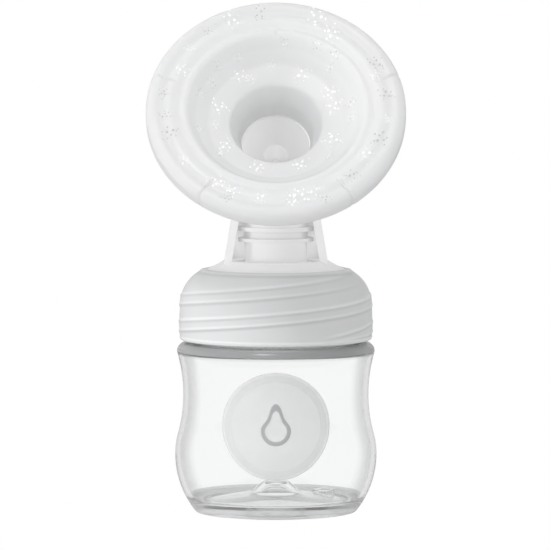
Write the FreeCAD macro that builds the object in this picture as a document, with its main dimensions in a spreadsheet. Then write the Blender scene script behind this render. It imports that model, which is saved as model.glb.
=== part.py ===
import FreeCAD, Part
import math
import os
import Sketcher

# Hand-operated breast pump on a baby bottle.
# Frame: millimetres, bottle axis on Z, base plane at z = 0. The breast cushion
# faces -Y and the handle hangs down on the +Y side.

Vector = FreeCAD.Vector
DOC = FreeCAD.newDocument("BreastPump")
SHEET = DOC.addObject("Spreadsheet::Sheet", "Dims")

# ---------------------------------------------------------------- driving dimensions
# Name endings: _r radius, _curve arc radius in an outline, _w full width,
# _x, _y and _z places along the axes.
DIMENSIONS = {
    "shared walls and gaps": dict(
        shell_wall=2.0,  # wall of the bowl, port, tunnel and tube
        fit_gap=0.05,  # between stiff parts, and round the funnel rim and stem foot
        seal_gap=0.03,  # round the bowl flange and under the spigot
        cuff_gap=0.02,  # round the spigot
    ),
    "bottle, outer face": dict(
        bottle_foot_in_r=25.5, bottle_foot_out_r=28.0,
        bottle_belly_r=35.3, bottle_belly_z=20.5,  # largest radius
        bottle_flank_r=34.33, bottle_flank_z=27.53,  # convex turns to concave
        bottle_waist_r=32.45, bottle_waist_z=41.2,  # finger grip
        bottle_top_r=34.7, bottle_top_z=56.5,
        bottle_shoulder_r=32.3, bottle_shoulder_z=59.45,
        bottle_neck_r=29.3, bottle_neck_base_z=59.6,
        bottle_rim_z=74.0, bottle_rim_bevel=0.4,
        belly_curve=31.8, hip_curve=26.0,
        waist_low_curve=50.6, waist_high_curve=53.1,
        shoulder_curve=3.2,
    ),
    "bottle, inner face": dict(
        bottle_wall=1.6, bottle_mouth_r=27.3, bottle_mouth_low_z=58.4,
        bottle_in_shoulder_r=31.4, bottle_in_shoulder_z=57.85,
        bottle_in_top_r=33.1, bottle_in_top_z=56.2,
        bottle_in_flank_r=32.79, bottle_in_flank_z=27.10,
        bottle_floor_out_r=29.3, bottle_floor_out_z=5.0,
        bottle_floor_mid_r=24.0, bottle_floor_mid_z=4.0,
        shoulder_in_curve=2.2, belly_in_curve=30.2, hip_in_curve=24.4,
        waist_low_in_curve=52.2, waist_high_in_curve=51.1,
    ),
    "punt, the raised centre of the bottle floor": dict(
        punt_base_r=8.9, punt_base_z=6.6,
        punt_top_r=4.4, punt_top_z=10.5,
        punt_under_top_r=3.3, punt_under_top_z=8.8,
        punt_under_base_r=7.6, punt_under_base_z=4.9,
        under_edge_r=24.4, under_edge_z=2.2,
    ),
    "mould stud on the bottle floor": dict(
        stud_x=17.0, stud_y=6.5, stud_ring_r=4.0, stud_hole_r=2.6,
        stud_low_z=3.4, stud_top_z=6.6, stud_floor=2.2,
    ),
    "thread shared by bottle and screw ring": dict(
        thread_lead=13.5,  # rise in one full turn
        thread_flank=0.6,  # rise of each sloping side of a ridge
        thread_crest_w=1.0,
        male_root_r=29.1, male_crest_r=30.9, male_low_z=61.8, male_run=7.6,
        female_root_r=31.5, female_crest_r=29.65, female_low_z=64.05, female_run=6.9,
    ),
    "screw ring": dict(
        ring_hole_r=24.2, ring_top_z=85.5,
        ring_brow_r=33.6, ring_brow_z=72.5,
        ring_hem_r=33.6, ring_hem_z=61.2, ring_hem_curve=0.8,
        ring_low_r=33.0, ring_low_z=60.4,
        ring_dome_curve=13.4, ring_side_curve=80.0,
        ring_in_r=31.2, ring_in_low_z=60.9, ring_in_high_z=76.2,
        ring_in_top_z=83.4, ring_in_curve=11.6,
    ),
    "skirt, collar, neck and spigot": dict(
        plug_r=27.22, plug_low_z=71.2, plug_in_r=25.7,  # enters the bottle mouth
        flange_r=30.93, flange_high_z=76.2, flange_bevel=0.5, dome_curve=11.35,
        step_r=24.12, step_low_z=83.16, step_high_z=85.3,  # runs in the ring hole
        collar_z=88.0, collar_one_r=18.6, collar_two_r=15.6, collar_three_r=14.4,
        neck_foot_r=10.8, neck_foot_z=88.3,
        neck_r=11.2, neck_bore_r=8.5, neck_high_z=114.1,
        rib_r=13.2, rib_low_z=95.0, rib_low_top_z=96.2,
        rib_high_z=98.7, rib_high_top_z=100.1,
        spigot_r=10.3, spigot_low_z=72.0,
    ),
    "side arms, splash guard and web": dict(
        arm_low_z=85.2, arm_high_z=115.6, arm_low_x=18.6, arm_high_x=13.45,
        arm_wall=2.8, arm_front_y=9.0, arm_back_y=14.6,
        rear_wall_inset=0.4,  # of the rear wall's edges from the arms' outer faces
        arm_blank_w=60.0,  # of the extrusions that are intersected
        guard_y=5.2, guard_w=11.6, web_w=3.0,
    ),
    "port and bowl": dict(
        port_y=4.0, port_r=6.4, port_low_z=120.0,
        bowl_y=14.0,  # vertical axis of bowl, diaphragm and stem
        bowl_r=20.0, bowl_low_z=134.0, bowl_round=3.0, bowl_in_round=1.5,
        bowl_flange_r=21.5, bowl_flange_low_z=149.0, bowl_rim_z=151.0,
    ),
    "funnel, heights along its own axis": dict(
        funnel_y=-40.0, funnel_z=143.1,
        funnel_tilt=54.0,  # degrees about X from straight up
        funnel_rim_r=43.0, funnel_rim_in_r=41.6,
        funnel_rim_top=-2.0, funnel_rim_low=-4.4, funnel_in_rim=-3.4,
        tunnel_r=16.0, tunnel_mouth=-18.0, tunnel_mouth_out=-19.6,
        tunnel_step=-23.0, tunnel_step_out=-25.0,
        tube_r=13.6, tube_end=-49.44,
        void_over=2.0,  # how far the voids run past the open rims
    ),
    "pivot and lug": dict(
        pivot_y=42.0, pivot_z=150.0,
        pivot_stud_r=3.0, pivot_stud_in_x=9.0, pivot_stud_x=12.8,
        lug_x=10.9, lug_nose_r=5.4, lug_gap_x=7.4, lug_gap_y=37.7,
    ),
    "cushion, heights along the funnel axis": dict(
        cushion_rim_r=44.5, cushion_ridge_out_r=32.9, cushion_bowl_r=30.2,
        cushion_throat_r=15.9, cushion_tube_r=13.85, cushion_tube_in_r=11.7,
        cushion_end=-22.7,
    ),
    "duckbill valve": dict(
        cuff_in_r=6.6, cuff_low_z=70.6, cuff_top_z=81.7, cuff_wall=1.9, cuff_bevel=0.5,
    ),
    "diaphragm": dict(
        lip_r=23.0, lip_low_z=147.8, lip_top_z=152.4, lip_round=0.7, lip_step_gap=0.1,
        dia_wall_r=17.8, dia_wall=1.4, dia_low_z=137.0, dia_plate_z=138.8,
        dia_round=1.8, dia_in_round=1.2,
        boss_r=6.0, boss_top_z=143.5, boss_bevel=0.4,
    ),
    "stem": dict(
        stem_foot_r=4.4, stem_foot_low_z=139.2, stem_foot_top_z=141.2, stem_r=3.0,
        knob_r=4.5, knob_low_z=161.05, knob_side_z=162.4, knob_top_z=164.5,
        knob_flat_r=1.0, knob_curve=5.4,
    ),
    "handle and its grip": dict(
        handle_w=26.0, handle_in_w=22.0, plate_top_z=161.0, plate_low_z=158.4,
        recess_inset=1.2,  # how much narrower the recess is than the channel
        slot_half_w=3.3, slot_end_y=14.6, slot_end_curve=3.32,
        slot_z=160.0, slot_cut=8.0, pivot_cut=40.0,
        grip_w=18.0, grip_gap=0.1,  # the gap is the recess's extra width in all
    ),
}
THREAD_STARTS = 3

SIZES = {}
for group, sizes in DIMENSIONS.items():
    for name, value in sizes.items():
        SIZES[name] = value
        row = len(SIZES)
        SHEET.set("A%d" % row, name)
        SHEET.set("B%d" % row, repr(value))
        SHEET.set("C%d" % row, group)
        SHEET.setAlias("B%d" % row, name)
DOC.recompute()


# ---------------------------------------------------------------- sheet expressions
# An expression is a number, or words in a string: sizes and numbers joined by
# " + " and " - ".
def num(expr):
    """Value of an expression."""
    total, sign = 0.0, 1.0
    for word in str(expr).split():
        if word in ("+", "-"):
            sign = 1.0 if word == "+" else -1.0
        else:
            total += sign * (SIZES[word] if word in SIZES else float(word))
    return total


def cell(expr):
    """The same expression written against the sheet."""
    return " ".join("Dims." + word if word in SIZES else word for word in str(expr).split())


def bind(obj, prop, expr):
    setattr(obj, prop, num(expr))
    obj.setExpression(prop, cell(expr))


def bind_span(obj, prop, low, high):
    setattr(obj, prop, num(high) - num(low))
    obj.setExpression(prop, "%s - (%s)" % (cell(high), cell(low)))


def place(obj, x, y, z, rotation=FreeCAD.Rotation()):
    obj.Placement = FreeCAD.Placement(Vector(num(x), num(y), num(z)), rotation)
    for axis, expr in zip("xyz", (x, y, z)):
        obj.setExpression("Placement.Base." + axis, cell(expr))


def place_on_funnel(obj):
    """Put a turned body on the tilted funnel axis."""
    tilt = FreeCAD.Rotation(Vector(1, 0, 0), num("funnel_tilt"))
    place(obj, 0, "funnel_y", "funnel_z", tilt)
    obj.setExpression("Placement.Rotation.Angle", cell("funnel_tilt"))


# ---------------------------------------------------------------- sketches
def new_sketch(body, name, role="XZ_Plane"):
    sketch = body.newObject("Sketcher::SketchObject", name)
    plane = [item for item in body.Origin.OriginFeatures if item.Role == role][0]
    sketch.AttachmentSupport = [(plane, "")]
    sketch.MapMode = "FlatFace"
    return sketch


def lift_sketch(sketch, height):
    sketch.AttachmentOffset = FreeCAD.Placement(Vector(0, 0, height), FreeCAD.Rotation())


def constrain(sketch, expr, *target):
    index = sketch.addConstraint(Sketcher.Constraint(*target, num(expr)))
    sketch.setExpression("Constraints[%d]" % index, cell(expr))


def bind_point(sketch, edge, vertex, across, up):
    constrain(sketch, across, "DistanceX", -1, 1, edge, vertex)
    constrain(sketch, up, "DistanceY", -1, 1, edge, vertex)


def add_arc(sketch, start, end, bend):
    """Minor arc from start to end. Returns the edge, its start vertex, its end vertex."""
    turns_left = not str(bend).startswith("-")
    radius_expr = str(bend).lstrip("-")
    radius = num(radius_expr)
    (x0, y0), (x1, y1) = start, end
    dx, dy = x1 - x0, y1 - y0
    half = math.hypot(dx, dy) / 2.0
    offset = math.sqrt(max(radius * radius - half * half, 0.0))
    side = 1.0 if turns_left else -1.0
    centre_x = (x0 + x1) / 2.0 - side * dy / (2 * half) * offset
    centre_y = (y0 + y1) / 2.0 + side * dx / (2 * half) * offset
    start_angle = math.atan2(y0 - centre_y, x0 - centre_x)
    end_angle = math.atan2(y1 - centre_y, x1 - centre_x)
    circle = Part.Circle(Vector(centre_x, centre_y, 0), Vector(0, 0, 1), radius)
    # A sketch arc always runs anticlockwise, so a right turn is drawn backwards.
    if turns_left:
        edge = sketch.addGeometry(Part.ArcOfCircle(circle, start_angle, end_angle))
        vertices = (1, 2)
    else:
        edge = sketch.addGeometry(Part.ArcOfCircle(circle, end_angle, start_angle))
        vertices = (2, 1)
    constrain(sketch, radius_expr, "Radius", edge)
    return (edge,) + vertices


def outline(sketch, points):
    """Closed outline. A point is (across, up), or (across, up, radius) when an arc
    leads to it. A positive radius turns left of the way of travel, a negative one
    turns right."""
    corners = [(num(point[0]), num(point[1])) for point in points]
    count = len(points)
    edges = []
    for i in range(count):
        start, end = corners[i], corners[(i + 1) % count]
        target = points[(i + 1) % count]
        if len(target) == 3:
            edges.append(add_arc(sketch, start, end, target[2]))
        else:
            line = Part.LineSegment(Vector(*start, 0), Vector(*end, 0))
            edges.append((sketch.addGeometry(line), 1, 2))
    for i in range(count):
        edge, _, last = edges[i]
        next_edge, first, _ = edges[(i + 1) % count]
        sketch.addConstraint(Sketcher.Constraint("Coincident", edge, last, next_edge, first))
    for (edge, first, _), point in zip(edges, points):
        bind_point(sketch, edge, first, point[0], point[1])


# ---------------------------------------------------------------- features
def turned_body(name, feature, points):
    """Body revolved about its own Z. Points are (radius, height)."""
    body = DOC.addObject("PartDesign::Body", name)
    sketch = new_sketch(body, feature + "_outline")
    outline(sketch, points)
    revolution = body.newObject("PartDesign::Revolution", feature)
    revolution.Profile = sketch
    revolution.ReferenceAxis = (sketch, ["V_Axis"])
    revolution.Angle = 360
    body.Tip = revolution
    return body


def extrude(body, kind, name, sketch, width):
    """Pad or pocket, half of the width to each side of the sketch."""
    feature = body.newObject("PartDesign::" + kind, name)
    feature.Profile = sketch
    # Releases without SideType call the same setting Midplane.
    if hasattr(feature, "SideType"):
        feature.SideType = "Symmetric"
    else:
        feature.Midplane = True
    bind(feature, "Length", width)
    body.Tip = feature


def extrude_outline(body, kind, name, points, width, role="YZ_Plane"):
    sketch = new_sketch(body, name + "_outline", role)
    outline(sketch, points)
    extrude(body, kind, name, sketch, width)


def padded_body(name, feature, points, width, role="YZ_Plane"):
    body = DOC.addObject("PartDesign::Body", name)
    extrude_outline(body, "Pad", feature, points, width, role)
    return body


def add_thread(body, name, sex):
    """Ridge swept along the shared lead and repeated round the axis."""
    root, crest, low = sex + "_root_r", sex + "_crest_r", sex + "_low_z"
    sketch = new_sketch(body, name + "_profile")
    outline(sketch, [
        (root, low),
        (crest, low + " + thread_flank"),
        (crest, low + " + thread_flank + thread_crest_w"),
        (root, low + " + thread_flank + thread_crest_w + thread_flank"),
    ])
    helix = body.newObject("PartDesign::AdditiveHelix", name)
    helix.Profile = sketch
    helix.ReferenceAxis = (sketch, ["V_Axis"])
    helix.Mode = 0  # pitch and height
    bind(helix, "Pitch", "thread_lead")
    bind(helix, "Height", sex + "_run")
    helix.LeftHanded = False
    body.Tip = helix
    DOC.recompute()  # the pattern needs the finished ridge
    pattern = body.newObject("PartDesign::PolarPattern", name + "_starts")
    pattern.Originals = [helix]
    pattern.Axis = (sketch, ["V_Axis"])
    pattern.Angle = 360
    pattern.Occurrences = THREAD_STARTS
    body.Tip = pattern


def add_ellipse_loft(body, kind, name, sections):
    """Loft through ellipses: (sketch name, height, half length in X, half length in Y)."""
    sketches = []
    for sketch_name, height, half_x, half_y in sections:
        sketch = new_sketch(body, sketch_name, "XY_Plane")
        lift_sketch(sketch, height)
        sketch.addGeometry(Part.Ellipse(Vector(0, 0, 0), half_x, half_y))
        sketches.append(sketch)
    loft = body.newObject("PartDesign::" + kind, name)
    loft.Profile = sketches[0]
    loft.Sections = sketches[1:]
    loft.Ruled = False
    body.Tip = loft


def bare_cylinder(name, radius, low, high):
    cylinder = DOC.addObject("Part::Cylinder", name)
    bind(cylinder, "Radius", radius)
    bind_span(cylinder, "Height", low, high)
    return cylinder


def upright_cylinder(name, radius, low, high, x=0, y=0):
    cylinder = bare_cylinder(name, radius, low, high)
    place(cylinder, x, y, low)
    return cylinder


def combine(kind, name, shapes):
    result = DOC.addObject("Part::Multi" + kind, name)
    result.Shapes = shapes
    return result


def cut(name, base, tool):
    result = DOC.addObject("Part::Cut", name)
    result.Base = base
    result.Tool = tool
    return result


# ---------------------------------------------------------------- bottle and ring
def make_bottle():
    form = turned_body("bottle_form", "bottle_wall_form", [
        # underside and outer face, upwards
        (0, "punt_under_top_z"),
        ("punt_under_top_r", "punt_under_top_z"),
        ("punt_under_base_r", "punt_under_base_z"),
        ("under_edge_r", "under_edge_z"),
        ("bottle_foot_in_r", 0),
        ("bottle_foot_out_r", 0),
        ("bottle_belly_r", "bottle_belly_z", "belly_curve"),
        ("bottle_flank_r", "bottle_flank_z", "hip_curve"),
        ("bottle_waist_r", "bottle_waist_z", "-waist_low_curve"),
        ("bottle_top_r", "bottle_top_z", "-waist_high_curve"),
        ("bottle_shoulder_r", "bottle_shoulder_z", "shoulder_curve"),
        ("bottle_neck_r", "bottle_neck_base_z"),
        ("bottle_neck_r", "bottle_rim_z - bottle_rim_bevel"),
        ("bottle_neck_r - bottle_rim_bevel", "bottle_rim_z"),
        # inner face, downwards
        ("bottle_mouth_r + bottle_rim_bevel", "bottle_rim_z"),
        ("bottle_mouth_r", "bottle_rim_z - bottle_rim_bevel"),
        ("bottle_mouth_r", "bottle_mouth_low_z"),
        ("bottle_in_shoulder_r", "bottle_in_shoulder_z"),
        ("bottle_in_top_r", "bottle_in_top_z", "-shoulder_in_curve"),
        ("bottle_waist_r - bottle_wall", "bottle_waist_z", "waist_high_in_curve"),
        ("bottle_in_flank_r", "bottle_in_flank_z", "waist_low_in_curve"),
        ("bottle_belly_r - bottle_wall", "bottle_belly_z", "-hip_in_curve"),
        ("bottle_floor_out_r", "bottle_floor_out_z", "-belly_in_curve"),
        ("bottle_floor_mid_r", "bottle_floor_mid_z"),
        ("punt_base_r", "punt_base_z"),
        ("punt_top_r", "punt_top_z"),
        (0, "punt_top_z"),
    ])
    add_thread(form, "bottle_thread", "male")
    stud_out = upright_cylinder("floor_stud_out", "stud_ring_r", "stud_low_z", "stud_top_z",
                                "stud_x", "stud_y")
    stud_in = upright_cylinder("floor_stud_in", "stud_hole_r", "stud_low_z + stud_floor",
                               "stud_top_z + 1", "stud_x", "stud_y")
    stud = cut("floor_stud", stud_out, stud_in)
    return combine("Fuse", "bottle", [form, stud])


def make_screw_ring():
    ring = turned_body("screw_ring", "ring_shell", [
        ("ring_hole_r", "ring_in_top_z", "ring_in_curve"),
        ("ring_hole_r", "ring_top_z"),
        ("ring_brow_r", "ring_brow_z", "-ring_dome_curve"),
        ("ring_hem_r", "ring_hem_z", "-ring_side_curve"),
        ("ring_low_r", "ring_low_z", "-ring_hem_curve"),
        ("ring_in_r + 0.4", "ring_low_z"),
        ("ring_in_r", "ring_in_low_z"),
        ("ring_in_r", "ring_in_high_z"),
    ])
    add_thread(ring, "ring_thread", "female")
    return ring


# ---------------------------------------------------------------- pump body
def make_skirt():
    """Spigot, plug, flange, stepped collar and ribbed neck in one turned wall."""
    return turned_body("skirt_and_neck_form", "skirt_shell", [
        # spigot and underside
        ("neck_bore_r", "spigot_low_z"),
        ("spigot_r - 0.4", "spigot_low_z"),
        ("spigot_r", "spigot_low_z + 0.6"),
        ("spigot_r", 85.0),
        (20.6, 82.3),
        ("plug_in_r", 76.0, -8.6),
        # plug and flange, which sits just above the bottle rim
        ("plug_in_r", "plug_low_z"),
        ("plug_r - 0.5", "plug_low_z"),
        ("plug_r", "plug_low_z + 0.5"),
        ("plug_r", "bottle_rim_z + fit_gap"),
        ("flange_r - flange_bevel", "bottle_rim_z + fit_gap"),
        ("flange_r", "bottle_rim_z + fit_gap + flange_bevel"),
        ("flange_r", "flange_high_z"),
        ("step_r", "step_low_z", "dome_curve"),
        ("step_r", "step_high_z - 0.3"),
        ("step_r - 0.3", "step_high_z"),
        # collar
        ("collar_one_r", "collar_z", -34.0),
        ("collar_one_r - 0.5", "collar_z + 0.2"),
        ("collar_two_r + 0.3", "collar_z + 0.2"),
        ("collar_two_r", "collar_z - 0.1"),
        ("collar_two_r", "collar_z - 0.7"),
        ("collar_three_r", "collar_z - 0.7"),
        ("collar_three_r", "collar_z - 0.3"),
        ("collar_three_r - 0.7", "collar_z - 0.3"),
        ("collar_three_r - 0.7", "collar_z - 0.7"),
        ("neck_foot_r + 1.0", "collar_z - 0.7"),
        # neck with two ribs
        ("neck_foot_r", "neck_foot_z", -0.9),
        ("neck_r - 0.2", "rib_low_z"),
        ("rib_r", "rib_low_z"),
        ("rib_r", "rib_low_top_z"),
        ("neck_r", "rib_low_top_z"),
        ("neck_r", "rib_high_z"),
        ("rib_r", "rib_high_z"),
        ("rib_r", "rib_high_top_z"),
        ("neck_r", "rib_high_top_z"),
        ("neck_r", "neck_high_z"),
        ("neck_bore_r", "neck_high_z"),
    ])


def make_arms():
    """Two leaning side arms and the rear wall between them. Each is an XZ outline
    intersected with a YZ outline."""
    plus_x_arm = padded_body("arm_front_form", "arm_front", [
        ("arm_low_x", "arm_low_z"),
        ("arm_high_x", "arm_high_z"),
        ("arm_high_x - arm_wall", "arm_high_z"),
        ("arm_low_x - arm_wall", "arm_low_z"),
    ], "arm_blank_w", "XZ_Plane")
    minus_x_arm = padded_body("arm_left_form", "arm_left", [
        ("0 - arm_low_x", "arm_low_z"),
        ("0 - arm_high_x", "arm_high_z"),
        ("arm_wall - arm_high_x", "arm_high_z"),
        ("arm_wall - arm_low_x", "arm_low_z"),
    ], "arm_blank_w", "XZ_Plane")
    arm_side = padded_body("arm_side_form", "arm_side", [
        ("0 - arm_front_y", 84.0),
        ("arm_back_y", 84.0),
        ("arm_back_y - 0.5", 91.0),
        ("arm_back_y - 7.0", 104.0, 30.0),
        (4.0, 116.5),
        ("0 - arm_front_y", 116.5),
    ], "arm_blank_w")
    rear_wall = padded_body("rear_wall_form", "rear_wall", [
        ("arm_low_x - rear_wall_inset", "arm_low_z"),
        ("arm_high_x - rear_wall_inset", "arm_high_z"),
        ("rear_wall_inset - arm_high_x", "arm_high_z"),
        ("rear_wall_inset - arm_low_x", "arm_low_z"),
    ], "arm_blank_w", "XZ_Plane")
    rear_side = padded_body("rear_side_form", "rear_side", [
        ("arm_back_y - 2.2", "arm_low_z"),
        ("arm_back_y - 0.2", "arm_low_z"),
        ("arm_back_y - 0.7", 91.0),
        ("arm_back_y - 7.2", 104.0, 30.0),
        (4.0, 114.5),
        (1.6, 114.5),
        ("arm_back_y - 9.2", 104.0),
        ("arm_back_y - 2.7", 91.0, -28.0),
    ], "arm_blank_w")
    rear = combine("Common", "rear_form", [rear_wall, rear_side])
    pair = combine("Fuse", "arms_pair", [plus_x_arm, minus_x_arm])
    arms = combine("Common", "arms_form", [pair, arm_side])
    return arms, rear


def make_funnel():
    """Outer solid and inner void of the funnel, tunnel and round-ended tube."""
    solid = turned_body("funnel_form", "funnel_solid", [
        (0, "tube_end - tube_r"),
        ("tube_r", "tube_end", "tube_r"),
        ("tube_r", "tunnel_step_out - 2.0"),
        ("tunnel_r", "tunnel_step_out"),
        ("tunnel_r", "tunnel_mouth_out"),
        ("funnel_rim_r - 1.6", "funnel_rim_low - 0.6"),
        ("funnel_rim_r", "funnel_rim_low"),
        ("funnel_rim_r", "funnel_rim_top"),
        (0, "funnel_rim_top"),
    ])
    place_on_funnel(solid)
    void = turned_body("funnel_void_form", "funnel_void", [
        (0, "tube_end - tube_r + shell_wall"),
        ("tube_r - shell_wall", "tube_end", "tube_r - shell_wall"),
        ("tube_r - shell_wall", "tunnel_step - 0.4"),
        ("tunnel_r - shell_wall", "tunnel_step"),
        ("tunnel_r - shell_wall", "tunnel_mouth"),
        ("funnel_rim_in_r", "funnel_in_rim"),
        ("funnel_rim_in_r", "funnel_rim_top + void_over"),
        (0, "funnel_rim_top + void_over"),
    ])
    place_on_funnel(void)
    return solid, void


def make_bowl():
    """Outer solid and inner void of the open bowl that holds the diaphragm."""
    solid = turned_body("bowl_form", "bowl_solid", [
        (0, "bowl_low_z"),
        ("bowl_r - bowl_round", "bowl_low_z"),
        ("bowl_r", "bowl_low_z + bowl_round", "bowl_round"),
        ("bowl_r", "bowl_flange_low_z"),
        ("bowl_flange_r", "bowl_flange_low_z"),
        ("bowl_flange_r", "bowl_rim_z"),
        (0, "bowl_rim_z"),
    ])
    place(solid, 0, "bowl_y", 0)
    void = turned_body("bowl_void_form", "bowl_void", [
        (0, "bowl_low_z + shell_wall"),
        ("bowl_r - shell_wall - bowl_in_round", "bowl_low_z + shell_wall"),
        ("bowl_r - shell_wall", "bowl_low_z + shell_wall + bowl_in_round", "bowl_in_round"),
        ("bowl_r - shell_wall", "bowl_rim_z + void_over"),
        (0, "bowl_rim_z + void_over"),
    ])
    place(void, 0, "bowl_y", 0)
    return solid, void


def make_lug():
    """Two cheeks behind the bowl that carry the pivot."""
    lug = padded_body("lug_form", "lug_solid", [
        (31.5, 138.5),
        (36.2, 138.5),
        ("pivot_y + 4.6", "pivot_z - 2.83"),
        ("pivot_y", "pivot_z + lug_nose_r", "lug_nose_r"),
        ("lug_gap_y", 153.0),
        ("lug_gap_y", 147.2),
        (31.5, 147.2),
    ], "lug_x + lug_x")
    gap = DOC.addObject("Part::Box", "lug_gap")
    bind_span(gap, "Length", "0 - lug_gap_x", "lug_gap_x")
    bind_span(gap, "Width", "lug_gap_y", 49.0)
    bind_span(gap, "Height", 139.9, 157.0)
    place(gap, "0 - lug_gap_x", "lug_gap_y", 139.9)
    return cut("lug_cheeks", lug, gap)


def make_pivot_studs():
    """One stud on each cheek, along X."""
    along_x = FreeCAD.Rotation(Vector(0, 1, 0), 90)
    studs = []
    for side, low, high in (("left", "0 - pivot_stud_x", "0 - pivot_stud_in_x"),
                            ("right", "pivot_stud_in_x", "pivot_stud_x")):
        stud = bare_cylinder("pivot_stud_" + side, "pivot_stud_r", low, high)
        place(stud, low, "pivot_y", "pivot_z", along_x)
        studs.append(stud)
    return studs


def make_pump_body():
    skirt = make_skirt()
    arms, rear = make_arms()
    funnel, funnel_void = make_funnel()
    bowl, bowl_void = make_bowl()
    port = upright_cylinder("port_form", "port_r", "port_low_z", "bowl_low_z + 1.0",
                            y="port_y")
    port_bore = upright_cylinder("port_bore", "port_r - shell_wall",
                                 "port_low_z - 2.0", "bowl_low_z + shell_wall + 1.0",
                                 y="port_y")
    milk_bore = upright_cylinder("milk_bore", "neck_bore_r", "spigot_low_z - 2.0",
                                 "neck_high_z")
    web = padded_body("web_form", "web", [
        (9.0, 104.0), (27.0, 134.6), (2.0, 134.6), (2.0, 118.0),
    ], "web_w")
    lug_cheeks = make_lug()
    studs = make_pivot_studs()

    solid = combine("Fuse", "pump_body_solid",
                    [skirt, arms, rear, funnel, bowl, port, web, lug_cheeks])
    void = combine("Fuse", "pump_body_void", [funnel_void, bowl_void, port_bore, milk_bore])
    hollow = cut("pump_body_hollow", solid, void)

    # Roof-shaped guard under the port, added after the hollow is cut.
    guard = padded_body("splash_guard_form", "splash_guard", [
        (0, 123.5), (-5.2, 119.1), (-4.5, 118.3),
        (0, 122.1), (4.5, 118.3), (5.2, 119.1),
    ], "guard_w", "XZ_Plane")
    place(guard, 0, "guard_y", 0)
    return combine("Fuse", "pump_body", [hollow, guard] + studs)


# ---------------------------------------------------------------- soft parts
def make_breast_cushion():
    cushion = turned_body("breast_cushion", "cushion_shell", [
        # back face, outwards
        ("cushion_tube_in_r", "cushion_end"),
        ("cushion_tube_r", "cushion_end"),
        ("cushion_tube_r", -17.5),
        (17.0, -12.0),
        (22.8, -10.1),
        (28.6, -6.0),
        (31.0, -2.6),
        (34.0, -2.3),
        (37.5, -1.6),
        (40.4, -1.95),
        # edge wrapped round the funnel rim
        ("funnel_rim_r + fit_gap", "funnel_rim_top + fit_gap"),
        ("funnel_rim_r + fit_gap", "funnel_rim_low - fit_gap"),
        (41.2, -5.2),
        (40.9, -6.9),
        (43.4, -6.7),
        ("cushion_rim_r", -5.2, 1.6),
        ("cushion_rim_r", -1.4),
        # open face, inwards
        (40.6, 0.6, 3.0),
        (38.6, -0.3, -3.4),
        (35.0, 0.2, 3.4),
        ("cushion_ridge_out_r", -0.6),
        ("cushion_bowl_r", -0.5, 1.7),
        (27.6, -4.4),
        (23.4, -7.9),
        ("cushion_throat_r", -9.8),
        (13.0, -17.0),
    ])
    place_on_funnel(cushion)
    return cushion


def make_duckbill_valve():
    """Cuff round the spigot with a bill that flattens downwards."""
    valve = turned_body("duckbill_valve", "valve_cuff", [
        ("cuff_in_r", "cuff_low_z"),
        ("spigot_r + cuff_wall - cuff_bevel", "cuff_low_z"),
        ("spigot_r + cuff_wall", "cuff_low_z + cuff_bevel"),
        ("spigot_r + cuff_wall", "cuff_top_z - 0.5"),
        ("spigot_r + cuff_wall - 0.4", "cuff_top_z"),
        ("spigot_r + cuff_gap", "cuff_top_z"),
        ("spigot_r + cuff_gap", "spigot_low_z - seal_gap"),
        ("cuff_in_r", "spigot_low_z - seal_gap"),
    ])
    add_ellipse_loft(valve, "AdditiveLoft", "bill", [
        ("bill_top", 71.2, 8.4, 8.39),
        ("bill_low", 62.4, 8.6, 1.3),
    ])
    add_ellipse_loft(valve, "SubtractiveLoft", "bill_hollow", [
        ("bill_hollow_top", 72.6, 7.4, 7.39),
        ("bill_hollow_low", 61.4, 7.4, 0.25),
    ])
    return valve


def make_diaphragm():
    wall_in = "dia_wall_r - dia_wall"
    diaphragm = turned_body("diaphragm", "diaphragm_cup", [
        # underside and cup wall
        (0, "dia_low_z"),
        ("dia_wall_r - dia_round", "dia_low_z"),
        ("dia_wall_r", "dia_low_z + dia_round", "dia_round"),
        # lip folded over the bowl flange
        ("dia_wall_r", "bowl_rim_z + seal_gap"),
        ("bowl_flange_r + seal_gap", "bowl_rim_z + seal_gap"),
        ("bowl_flange_r + seal_gap", "bowl_flange_low_z - seal_gap"),
        ("bowl_r + lip_step_gap", "bowl_flange_low_z - seal_gap"),
        ("bowl_r + lip_step_gap", "lip_low_z"),
        ("lip_r", "lip_low_z"),
        ("lip_r", "lip_top_z - lip_round"),
        ("lip_r - lip_round", "lip_top_z", "lip_round"),
        (wall_in + " + lip_round", "lip_top_z"),
        (wall_in, "lip_top_z - lip_round", "lip_round"),
        # inside of the cup, boss and socket for the stem foot
        (wall_in, "dia_plate_z + dia_in_round"),
        (wall_in + " - dia_in_round", "dia_plate_z", "-dia_in_round"),
        ("boss_r", "dia_plate_z"),
        ("boss_r", "boss_top_z - boss_bevel"),
        ("boss_r - boss_bevel", "boss_top_z"),
        ("stem_r + fit_gap", "boss_top_z"),
        ("stem_r + fit_gap", "stem_foot_top_z + fit_gap"),
        ("stem_foot_r + fit_gap", "stem_foot_top_z + fit_gap"),
        ("stem_foot_r + fit_gap", "stem_foot_low_z - fit_gap"),
        (0, "stem_foot_low_z - fit_gap"),
    ])
    place(diaphragm, 0, "bowl_y", 0)
    return diaphragm


# ---------------------------------------------------------------- stem and handle
def make_stem():
    stem = turned_body("stem", "stem_turned", [
        (0, "stem_foot_low_z"),
        ("stem_foot_r", "stem_foot_low_z"),
        ("stem_foot_r", "stem_foot_top_z"),
        ("stem_r", "stem_foot_top_z"),
        ("stem_r", "knob_low_z"),
        ("knob_r", "knob_low_z"),
        ("knob_r", "knob_side_z"),
        ("knob_flat_r", "knob_top_z", "knob_curve"),
        (0, "knob_top_z"),
    ])
    place(stem, 0, "bowl_y", 0)
    return stem


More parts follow.
